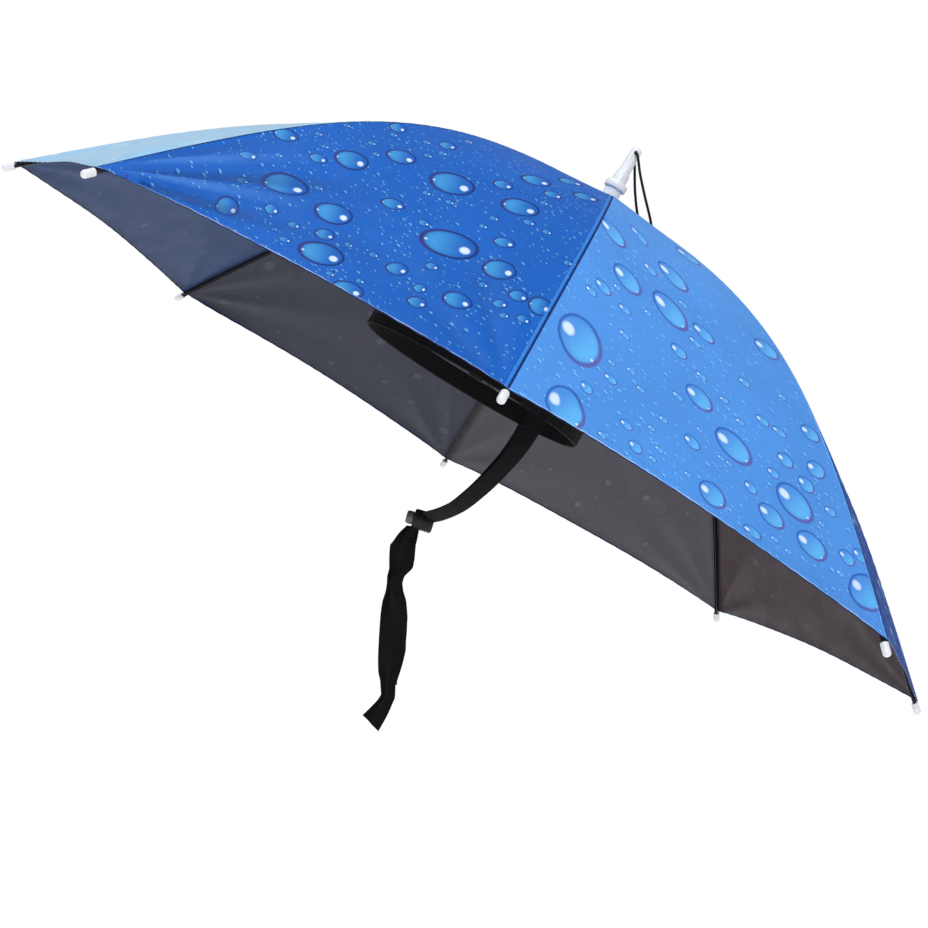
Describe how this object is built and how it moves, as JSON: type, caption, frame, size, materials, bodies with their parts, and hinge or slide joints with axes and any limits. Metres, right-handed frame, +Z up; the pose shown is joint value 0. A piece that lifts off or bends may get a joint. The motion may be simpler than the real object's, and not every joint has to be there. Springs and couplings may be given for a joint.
{
  "type": "umbrella hat",
  "caption": "Hands-free umbrella worn as a hat: a ribbed cloth canopy on a short post and cradle over an elastic head band, with a chin strap and lock.",
  "frame": {"origin": "centre of the elastic head band, where the hat sits on a head", "axes": "+Z up as worn, the wearer faces -Y and +X is the wearer's left; the canopy, its post and the head band lean back 30.7 degrees about X"},
  "size_m": [0.7776, 0.6692, 0.4423],
  "materials": {
    "canopy_cloth": "thin woven polyester with a printed water-drop pattern outside and a dark grey coating inside",
    "rib_steel": "black painted steel, satin",
    "white_plastic": "milky white moulded plastic",
    "black_plastic": "black moulded plastic, fine grain",
    "grey_plastic": "dark grey moulded plastic",
    "elastic_cord": "round braided elastic cord",
    "elastic_band": "ribbed woven elastic",
    "strap_webbing": "thin black woven ribbon"
  },
  "bodies": {
    "root": {"canopy_panel_1": "canopy_cloth", "canopy_panel_2": "canopy_cloth", "canopy_panel_3": "canopy_cloth", "canopy_panel_4": "canopy_cloth", "canopy_panel_5": "canopy_cloth", "canopy_panel_6": "canopy_cloth", "canopy_panel_7": "canopy_cloth", "canopy_panel_8": "canopy_cloth", "rib_1": "rib_steel", "rib_2": "rib_steel", "rib_3": "rib_steel", "rib_4": "rib_steel", "rib_5": "rib_steel", "rib_6": "rib_steel", "rib_7": "rib_steel", "rib_8": "rib_steel", "stretcher_1": "rib_steel", "stretcher_2": "rib_steel", "stretcher_3": "rib_steel", "stretcher_4": "rib_steel", "stretcher_5": "rib_steel", "stretcher_6": "rib_steel", "stretcher_7": "rib_steel", "stretcher_8": "rib_steel", "tip_cap_1": "white_plastic", "tip_cap_2": "white_plastic", "tip_cap_3": "white_plastic", "tip_cap_4": "white_plastic", "tip_cap_5": "white_plastic", "tip_cap_6": "white_plastic", "tip_cap_7": "white_plastic", "tip_cap_8": "white_plastic", "hub": "black_plastic", "post": "rib_steel", "runner": "black_plastic", "finial": "white_plastic", "finial_loop": "elastic_cord", "head_band": "elastic_band", "crown_cradle": "black_plastic", "strap_lock": "black_plastic", "lock_button": "grey_plastic", "chin_strap_left": "strap_webbing", "chin_strap_right": "strap_webbing", "strap_end_short": "strap_webbing", "strap_end_long": "strap_webbing"}
  },
  "joints": []
}
